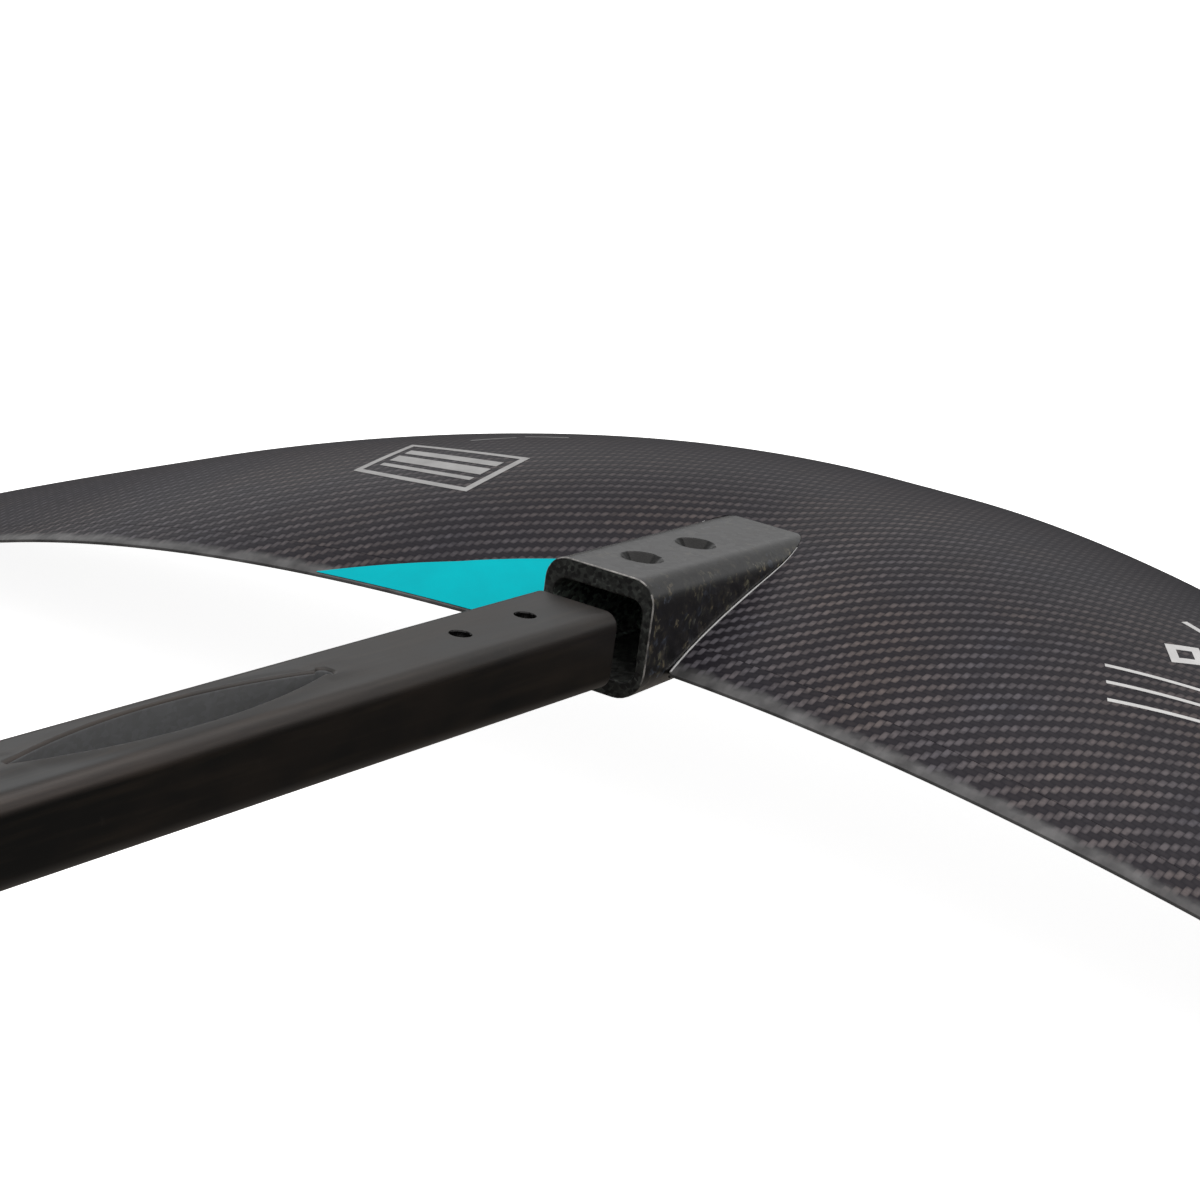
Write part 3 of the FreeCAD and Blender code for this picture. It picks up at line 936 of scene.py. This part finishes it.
def countersink(x, raggedness):
    top = collar_top_at(x)

    def profile(angle):
        direction = Vector((3.0 * math.cos(angle), 3.0 * math.sin(angle), x))
        ragged = raggedness * noise.noise(direction * 1.7)
        return [(screw_radius, deck_z - 4.0), (screw_radius, top - screw_head_depth),
                (screw_head_radius - 0.5 + 0.5 * ragged, top - 0.45),
                (screw_head_radius + ragged, top - 0.1),
                (screw_head_radius + 0.55 + 1.3 * ragged, top + 0.06),
                (screw_head_radius + 0.8 + 1.3 * ragged, top + 2.0)]

    return plug("cutter", x, profile)


def socket_collar():
    rings = [collar_outer_ring(x) for x in spread(collar_front_x, mouth_x + rim_rounding, 24)]
    for back, inset in quarter_turn(rim_rounding, 6):
        rings.append(collar_outer_ring(mouth_x + back, inset))
    lip = collar_bore_ring(mouth_x, lip_rounding)
    outer_edge = rings[-1]
    for i in range(1, 6):
        ring = [a.lerp(b, i / 6.0) for a, b in zip(outer_edge, lip)]
        rings.append([roughened(p, 0.14) for p in ring])
    for outset, back in quarter_turn(lip_rounding, 4, first=0):
        rings.append([roughened(p, 0.16) for p in collar_bore_ring(mouth_x + back, outset)])
    for x in spread(mouth_x + 1.2, bore_end_x, 40):
        rings.append(collar_bore_ring(x))
    return loft("collar", rings)


collar = socket_collar()
cut(collar, countersink(wing_screws[0], 0.45))
cut(collar, countersink(wing_screws[1], 0.0))
finish_piece(collar, collar_material, "wing", ["socket_collar"])


def collar_finish(centre, normal):
    """Which finish a face of the collar has: 0 outside, 1 raw, 2 rim with painted highlight, 3 drilled, 4
    bore wall with painted light.
    """
    for x in wing_screws:
        off_axis = math.hypot(centre.x - x, centre.y)
        if off_axis < screw_head_radius + 0.1 and deck_z + 1.0 < centre.z < collar_top_at(x) - 0.05:
            return 3
    bevelled = -0.93 < normal.x < -0.2 and abs(centre.y) + abs(centre.z) > 17.0
    if bevelled and centre.x < mouth_x + rim_rounding:
        on_rim = abs(centre.y) > collar_half_width - 1.2 or centre.z > collar_top_at(mouth_x) - 1.2
        return 2 if on_rim else 1
    height = centre.z - deck_z
    inside = (abs(centre.y) < bore_half_width[0] + 0.2 and centre.x < bore_end_x + 0.5
              and bore_bottom[0] - 0.2 < height < bore_top[0] + 0.3)
    # Painted light: the bore's left inner wall takes the lighter, lit copy of the laminate.
    if inside and normal.y < -0.3 and centre.x > mouth_x + 0.8:
        return 4
    return 1 if inside or normal.x < -0.8 else 0


for extra in (raw_material, rim_highlight_material, wall_material, lit_bore_material):
    collar.data.materials.append(extra)
for face in collar.data.polygons:
    face.material_index = collar_finish(face.center / MM, face.normal)
weigh_normals(collar)


# ======== seam lines
def tube(name, path, radius_at):
    """A round bead along a path, with its radius a function of the share of the way along."""
    sides = 10
    rings = []
    for k, point in enumerate(path):
        before, after = path[max(k - 1, 0)], path[min(k + 1, len(path) - 1)]
        ahead = (after - before).normalized()
        level = ahead.cross(Vector((0, 0, 1))).normalized()
        up = level.cross(ahead)
        radius = radius_at(k / (len(path) - 1))
        angles = [2.0 * math.pi * i / sides for i in range(sides)]
        rings.append([point + radius * (math.cos(a) * level + math.sin(a) * up) for a in angles])
    return loft(name, rings)


def seam_path(height, notch_at, side_y):
    start = te_x(side_y) + 0.3
    path = [along(share_at(x, side_y), side_y, height) for x in spread(start, notch_at(notch_y), 30)]
    for y in (19.2, 18.7, 18.0, 17.0):
        path.append(along(share_at(notch_at(y), y), y, height))
    return path


for side in ("left", "right"):
    top_path = mirrored(seam_path(upper, upper_notch_x, 19.42), side)
    keel_path = mirrored(seam_path(lower, lower_notch_x, 19.35), side)
    bead = tube("seam_line_" + side, top_path, lambda t: 0.36 if t < 0.7 else 0.36 - 0.8 * (t - 0.7))
    finish_piece(bead, seam_highlight_material, "wing", ["seam_bead_" + side], 60.0)
    keel_bead = tube("keel_seam_" + side, keel_path, lambda t: 0.42)
    finish_piece(keel_bead, inner_material, "wing", (), 60.0)


# ======== fuselage
def fuselage_size(x):
    share = min(max((straight_end_x - x) / (straight_end_x - tail_x), 0.0), 1.0)
    return (between((fuselage_half_width, tail_half_width), share),
            between((fuselage_height, tail_height), share),
            between((fuselage_corner, tail_corner), share))


def fuselage_ring(x, inset=0.0):
    half_width, height, corner = fuselage_size(x)
    return rounded_ring(x, half_width, deck_z, deck_z - height, corner, corner, inset, flats=(26, 8, 10, 8))


def seat_arc():
    """Centre and radius of the arc that bounds the seat on its left side."""
    a = Vector((seat_half_length, 0.0))
    b = Vector((seat_widest_x, seat_half_width))
    offset = (b.y ** 2 + b.x ** 2 - a.x ** 2) / (2.0 * b.y)
    return Vector((0.0, offset)), math.sqrt(a.x ** 2 + offset ** 2)


seat_centre, seat_radius = seat_arc()


def seat_half_width_at(x):
    arc = seat_centre.y + math.sqrt(max(seat_radius ** 2 - x * x, 0.0))
    relief_x = x - (seat_half_length - seat_relief_radius)
    relief = math.sqrt(max(seat_relief_radius ** 2 - relief_x ** 2, 0.0))
    return max(arc, relief)


def deck_crown(point):
    """The deck swells a little beside the seat."""
    if point.z < deck_z - 0.3 or abs(point.x) > seat_half_length + seat_crown_reach:
        return point
    beyond = max(abs(point.x) - seat_half_length, 0.0)
    outside = math.hypot(max(abs(point.y) - seat_half_width_at(min(abs(point.x), 54.0)), 0.0), 0.35 * beyond)
    return point + Vector((0, 0, seat_crown_height * math.exp(-(outside / seat_crown_width) ** 2)))


def rounded_end(rings, x_end, direction):
    """Adds the small rounding at one end of the fuselage's outside."""
    for back, inset in quarter_turn(end_rounding, 4):
        rings.append(fuselage_ring(x_end - direction * back, inset))


def fuselage_outside():
    stations = spread(tail_x + end_rounding, straight_end_x, 40)
    crown_end_x = seat_half_length + seat_crown_reach
    stations += spread(straight_end_x, crown_end_x, 78)[1:]
    stations += spread(crown_end_x, nose_x - end_rounding, 12)[1:]
    rings = [[deck_crown(p) for p in fuselage_ring(x)] for x in stations]
    rounded_end(rings, nose_x, 1.0)
    for x in reversed(spread(tail_x, straight_end_x, 4) + [nose_x]):
        rings.append(fuselage_ring(x, fuselage_wall))
    tail = []
    rounded_end(tail, tail_x, -1.0)
    rings += reversed(tail)
    return loft("fuselage_tube", rings, closed_path=True)


def seat_outline(offset):
    """Leaf-shaped loop round the seat, pushed outward by offset."""
    count = 72
    xs = [-seat_half_length * math.cos(math.pi * i / count) for i in range(count + 1)]
    stretch = 1.0 + offset / seat_half_length
    left = [(x * stretch, seat_half_width_at(x) + offset) for x in xs]
    left[0] = (left[0][0], 0.0)
    left[-1] = (left[-1][0], 0.0)
    right = [(x, -y) for x, y in reversed(left[1:-1])]
    return left + right


def seat_cutter():
    top = deck_z + seat_crown_height
    levels = [(0.0, 0.0), (6.0, 0.0), (top - seat_rim_rounding, 0.0)]
    levels += [(top - below, offset) for below, offset in quarter_turn(seat_rim_rounding, 4)]
    levels.append((top + 3.0, seat_rim_rounding))
    return loft("cutter", [[(x, y, z) for x, y in seat_outline(offset)] for z, offset in levels])


def deck_hole(x):
    def profile(angle):
        ragged = 0.10 * noise.noise(Vector((4.0 * math.cos(angle), 4.0 * math.sin(angle), x)))
        return [(deck_hole_radius, deck_z - fuselage_wall - 1.0), (deck_hole_radius, deck_z - 0.35),
                (deck_hole_radius + 0.30 + ragged, deck_z + 0.02), (deck_hole_radius + 0.5, deck_z + 2.0)]
    return plug("cutter", x, profile, 48)


def sleeve_cutter(x, radius, top):
    return plug("cutter", x, lambda angle: [(radius, -20.0), (radius, top)], 64)


fuselage = fuselage_outside()
cut(fuselage, seat_cutter())
for x in nose_screws + tail_screws:
    cut(fuselage, deck_hole(x))
for x in mast_screws:
    cut(fuselage, sleeve_cutter(x, sleeve_radius, -2.0))
finish_piece(fuselage, fuselage_material, "fuselage", ["fuselage_shell"])
fuselage.data.materials.append(seat_material)
fuselage.data.materials.append(wall_material)
for face in fuselage.data.polygons:
    centre = face.center / MM
    nearest = min(math.hypot(centre.x - x, centre.y) for x in nose_screws + tail_screws)
    if nearest < deck_hole_radius + 0.3 and centre.z > deck_z - 4.0 and abs(face.normal.z) < 0.9:
        face.material_index = 2
        continue
    in_seat = abs(centre.x) < 56.0 and abs(centre.y) < seat_half_width_at(min(abs(centre.x), 54.9)) + 0.1
    if in_seat and 8.0 < centre.z < deck_z - 0.2:
        face.material_index = 1
weigh_normals(fuselage)

seat_block = loft("seat_block", [fuselage_ring(x, fuselage_wall)
                                 for x in (-seat_block_half_length, seat_block_half_length)])
cut(seat_block, seat_cutter())
for x in mast_screws:
    cut(seat_block, sleeve_cutter(x, sleeve_radius, 0.02))
finish_piece(seat_block, seat_material, "fuselage", ["mast_seat_block"])
weigh_normals(seat_block)

for name, x_front in (("nose_cap", nose_x), ("tail_cap", tail_x + cap_thickness)):
    bevel = 0.25
    rings = [fuselage_ring(x_front, fuselage_wall + bevel), fuselage_ring(x_front - bevel, fuselage_wall),
             fuselage_ring(x_front - cap_thickness + bevel, fuselage_wall),
             fuselage_ring(x_front - cap_thickness, fuselage_wall + bevel)]
    piece = loft(name.replace("cap", "plate"), rings)
    finish_piece(piece, raw_material, "fuselage", [name])


# ======== inserts and sleeves
def threaded_loop(z_bottom, z_top, angle):
    chamfer = 0.4
    loop = [(insert_radius - chamfer, z_bottom), (insert_radius, z_bottom + chamfer),
            (insert_radius, z_top - chamfer), (insert_radius - chamfer, z_top)]
    count = 96
    for i in range(count + 1):
        z = z_top + (z_bottom - z_top) * i / count
        phase = (z / thread_pitch - angle / (2.0 * math.pi)) % 1.0
        depth = 0.26 * (1.0 - abs(2.0 * phase - 1.0) * 2.0)
        loop.append((thread_radius + depth, z))
    return loop


def sleeve_loop(angle):
    bottom = deck_z - fuselage_height
    chamfer = 0.3
    return [(sleeve_radius - chamfer, 0.0), (screw_radius + chamfer, 0.0), (screw_radius, -chamfer),
            (screw_radius, bottom + screw_head_depth), (screw_head_radius, bottom),
            (sleeve_radius - chamfer, bottom), (sleeve_radius, bottom + chamfer), (sleeve_radius, -chamfer)]


insert_top = deck_z - fuselage_wall


def insert_bottom(x):
    """An insert has its full length where the fuselage is high enough for it."""
    height = fuselage_size(x)[1]
    return max(insert_top - insert_length, deck_z - height + fuselage_wall + 0.1)


for end, screws in (("nose", nose_screws), ("tail", tail_screws)):
    for place, x in zip(("rear", "front"), screws):
        piece = lathe(f"threaded_{end}_insert_{place}", x,
                      lambda angle: threaded_loop(insert_bottom(x), insert_top, angle), 40)
        finish_piece(piece, steel_material, "fuselage", [f"{end}_insert_{place}"], 25.0)
for place, x in zip(("rear", "front"), mast_screws):
    piece = lathe("mast_screw_sleeve_" + place, x, sleeve_loop, 64)
    finish_piece(piece, steel_material, "fuselage", ["mast_sleeve_" + place], 25.0)


# ======== prints on the upper surface
ink_gap = 0.03
ink_thickness = 0.09


def ink_patch(name, corners, ink, steps, bend=None):
    """A four-sided print laid on the wing; corners are (X, Y), in order round the patch."""
    a, b, c, d = [Vector(corner) for corner in corners]
    rows = []
    for i in range(steps[0] + 1):
        start, end = a.lerp(b, i / steps[0]), d.lerp(c, i / steps[0])
        row = [start.lerp(end, j / steps[1]) for j in range(steps[1] + 1)]
        rows.append([bend(p) for p in row] if bend else row)
    ink_sheet(name, rows, ink)


def ink_sheet(name, rows, ink):
    outer, inner = [], []
    for row in rows:
        heights = [upper(min(share_at(p.x, p.y), 1.0), p.y) for p in row]
        outer.append([Vector((p.x, p.y, z + ink_gap + ink_thickness)) for p, z in zip(row, heights)])
        inner.append([Vector((p.x, p.y, z + ink_gap)) for p, z in zip(row, heights)])
    finish_piece(thick_sheet(name, outer, inner), ink, "wing")


def frame_corners(corners, margin):
    """The same four corners moved inward by margin along both edges that meet there."""
    moved = []
    for k, corner in enumerate(corners):
        here = Vector(corner)
        ahead = (Vector(corners[(k + 1) % 4]) - here).normalized()
        back = (Vector(corners[k - 1]) - here).normalized()
        moved.append(here + margin * (ahead + back))
    return moved


def ink_frame(name, corners, width, ink, bend=None):
    inside = frame_corners(corners, width)
    for k in range(4):
        after = (k + 1) % 4
        side = [corners[k], corners[after], inside[after], inside[k]]
        ink_patch(f"{name}_{k + 1}", side, ink, (24, 2), bend)


panel_front = [(230.0, 20.2), (214.7, 41.6), (198.2, 65.8), (183.6, 91.4), (176.9, 103.2)]


def panel_front_x(y):
    """X of the panel's front edge, which runs almost straight from the socket to the trailing edge."""
    for (x0, y0), (x1, y1) in zip(panel_front, panel_front[1:]):
        if y <= y1:
            return x0 + (x1 - x0) * (y - y0) / (y1 - y0)
    return panel_front[-1][0]


def turquoise_patch():
    """From the socket's side to a point on the trailing edge."""
    rows = []
    for y in spread(panel_front[0][1], panel_front[-1][1], 60):
        rear_x = te_x(y) + 0.5
        edge_x = max(panel_front_x(y), rear_x + 0.3)
        rows.append([Vector((x, y)) for x in spread(rear_x, edge_x, 12)])
    ink_sheet("turquoise_panel", rows, turquoise_ink)


turquoise_patch()

badge = [(236.3, 139.0), (273.0, 143.0), (268.6, 91.1), (232.4, 89.6)]
badge_bow = (2.3, 1.2)
badge_frame_width = 2.5
badge_bar_margin = 5.4


def badge_bend(point):
    """Bows the badge's sides, which look straight on the curved wing."""
    across = min(max((point.y - 89.0) / 54.0, 0.0), 1.0)
    ahead = min(max((point.x - 232.0) / 41.0, 0.0), 1.0)
    return Vector((point.x - 4.0 * badge_bow[0] * across * (1.0 - across),
                   point.y - 4.0 * badge_bow[1] * ahead * (1.0 - ahead)))


ink_frame("badge_frame", badge, badge_frame_width, badge_ink, badge_bend)
inner_badge = frame_corners(badge, badge_bar_margin)
for k, (start, end) in enumerate(((0.12, 0.22), (0.34, 0.58), (0.70, 0.88))):
    a, b, c, d = inner_badge
    edges_of_bar = [a.lerp(b, start), a.lerp(b, end), d.lerp(c, end), d.lerp(c, start)]
    ink_patch(f"badge_bar_{k + 1}", edges_of_bar, badge_ink, (6, 24), badge_bend)


def bar(name, start, end, width, ink):
    first, last = Vector(start), Vector(end)
    side = (last - first).normalized()
    side = Vector((-side.y, side.x)) * 0.5 * width
    ink_patch(name, [first + side, last + side, last - side, first - side], ink, (20, 2))


bar("faint_stroke_1", (286.0, 128.0), (299.0, 118.0), 1.4, grey_ink)
bar("faint_stroke_2", (303.0, 117.0), (309.0, 103.0), 1.6, grey_ink)
for k in range(3):
    row_start = Vector((251.0 - 8.5 * k, -126.5 - 4.5 * k))
    direction = Vector((14.0, -24.0)).normalized()
    bar(f"dash_row_{k + 1}", row_start, row_start + direction * (30.0 + 5.0 * k), 1.6, white_ink)
diamond = [(294.5, -138.0), (284.0, -131.0), (273.5, -138.0), (284.0, -145.0)]
ink_frame("diamond", diamond, 3.4, white_ink)
bar("cross_stroke", (312.0, -126.0), (309.0, -146.0), 3.2, white_ink)


# ======== carried-over nodes
node_looks = {"foam_core": foam_material, "inner_laminate": inner_material}
slots = {part["node"]: part["material_slot"] for part in frame["record"]["subparts"]}
for name, node in frame["nodes"].items():
    if not node.hide_render:
        node.data.materials.clear()
        node.data.materials.append(node_looks[slots[name]])


# ======== floor, light and camera
def studio_floor():
    floor_z = cad_low.z - 0.0005
    reach = 40.0
    mesh = bpy.data.meshes.new("studio_floor")
    mesh.from_pydata([(-reach, -reach, floor_z), (reach, -reach, floor_z),
                      (reach, reach, floor_z), (-reach, reach, floor_z)], [], [(0, 1, 2, 3)])
    floor = bpy.data.objects.new("studio_floor", mesh)
    bpy.context.scene.collection.objects.link(floor)
    look = Look("studio_floor", Roughness=0.9, IOR=1.3, Emission_Strength=1.0)
    tone = look.noise(look.place(), 0.7, 2.0)
    pale = look.mix(tone, grey(0.90), grey(0.94))
    floor.data.materials.append(look.set(Base_Color=pale, Emission_Color=pale))
    floor.visible_glossy = False
    floor.visible_diffuse = False


def studio_light():
    """A white backdrop for the camera, a graded sky for reflections and one softbox overhead."""
    world = bpy.data.worlds.new("studio")
    bpy.context.scene.world = world
    world.use_nodes = True
    sky = Nodes(world.node_tree)
    direction = sky.node("TexCoord", {}).outputs["Generated"]
    height = sky.axis(direction, 2)
    ramp = sky.node("ValToRGB", {0: sky.range(height, -1.0, 1.0)})
    stops = [(-1.0, 0.24, 0.10), (-0.55, 0.15, 0.10), (-0.40, 0.055, 0.10), (-0.25, 0.018, 0.05),
             (-0.02, 0.04, 0.02), (0.10, 0.10, 0.0), (0.20, 0.34, 0.0), (0.29, 0.66, 0.0),
             (0.40, 0.60, 0.0), (0.55, 0.34, 0.0), (1.0, 0.42, 0.0)]
    points = ramp.color_ramp.elements
    while len(points) < len(stops):
        points.new(0.5)
    for point, (level, value, warmth) in zip(points, stops):
        point.position = 0.5 + 0.5 * level
        point.color = grey(value, warmth)
    leftward = sky.range(sky.axis(direction, 1), 0.52, 0.64, 1.0, 1.65)
    strength = sky.range(height, 0.22, 0.32, 1.0, leftward)
    lit = sky.node("Background", {"Color": ramp.outputs[0], "Strength": strength}).outputs[0]
    seen = sky.node("Background", {"Color": grey(1.0)}).outputs[0]
    to_camera = sky.node("LightPath", {}).outputs["Is Camera Ray"]
    sky.node("OutputWorld", {0: sky.node("MixShader", {0: to_camera, 1: lit, 2: seen}).outputs[0]})
    lamp = bpy.data.lights.new("softbox", "AREA")
    lamp.shape = "RECTANGLE"
    lamp.size = 4.5
    lamp.size_y = 4.0
    lamp.energy = 58.0
    lamp.color = (1.0, 0.97, 0.95)
    softbox = bpy.data.objects.new("softbox", lamp)
    bpy.context.scene.collection.objects.link(softbox)
    softbox.location = (-0.1, -0.4, 2.1)
    softbox.rotation_mode = "QUATERNION"
    softbox.rotation_quaternion = (Vector((0.1, 0.0, 0.0)) - softbox.location).to_track_quat("-Z", "Y")


def camera_as_photographed():
    """The camera's axes and place, worked out from the parallel edges of the fuselage and the socket."""
    right = Vector((0.55408, -0.82230, 0.12969))
    down = Vector((-0.16173, -0.25916, -0.95220))
    forward = Vector((0.81660, 0.50662, -0.27658))
    place = Vector((-446.964, -387.677, 223.555)) * MM
    camera = bpy.data.objects.new("camera", bpy.data.cameras.new("camera"))
    bpy.context.scene.collection.objects.link(camera)
    camera.data.lens = 79.5
    camera.data.sensor_width = 36.0
    camera.data.clip_start = 0.01
    camera.data.clip_end = 100.0
    turn = Matrix((right, -down, -forward)).transposed()
    camera.matrix_world = Matrix.Translation(place) @ turn.to_4x4()
    bpy.context.scene.camera = camera


studio_floor()
studio_light()
camera_as_photographed()
bpy.context.scene.view_settings.view_transform = "Standard"
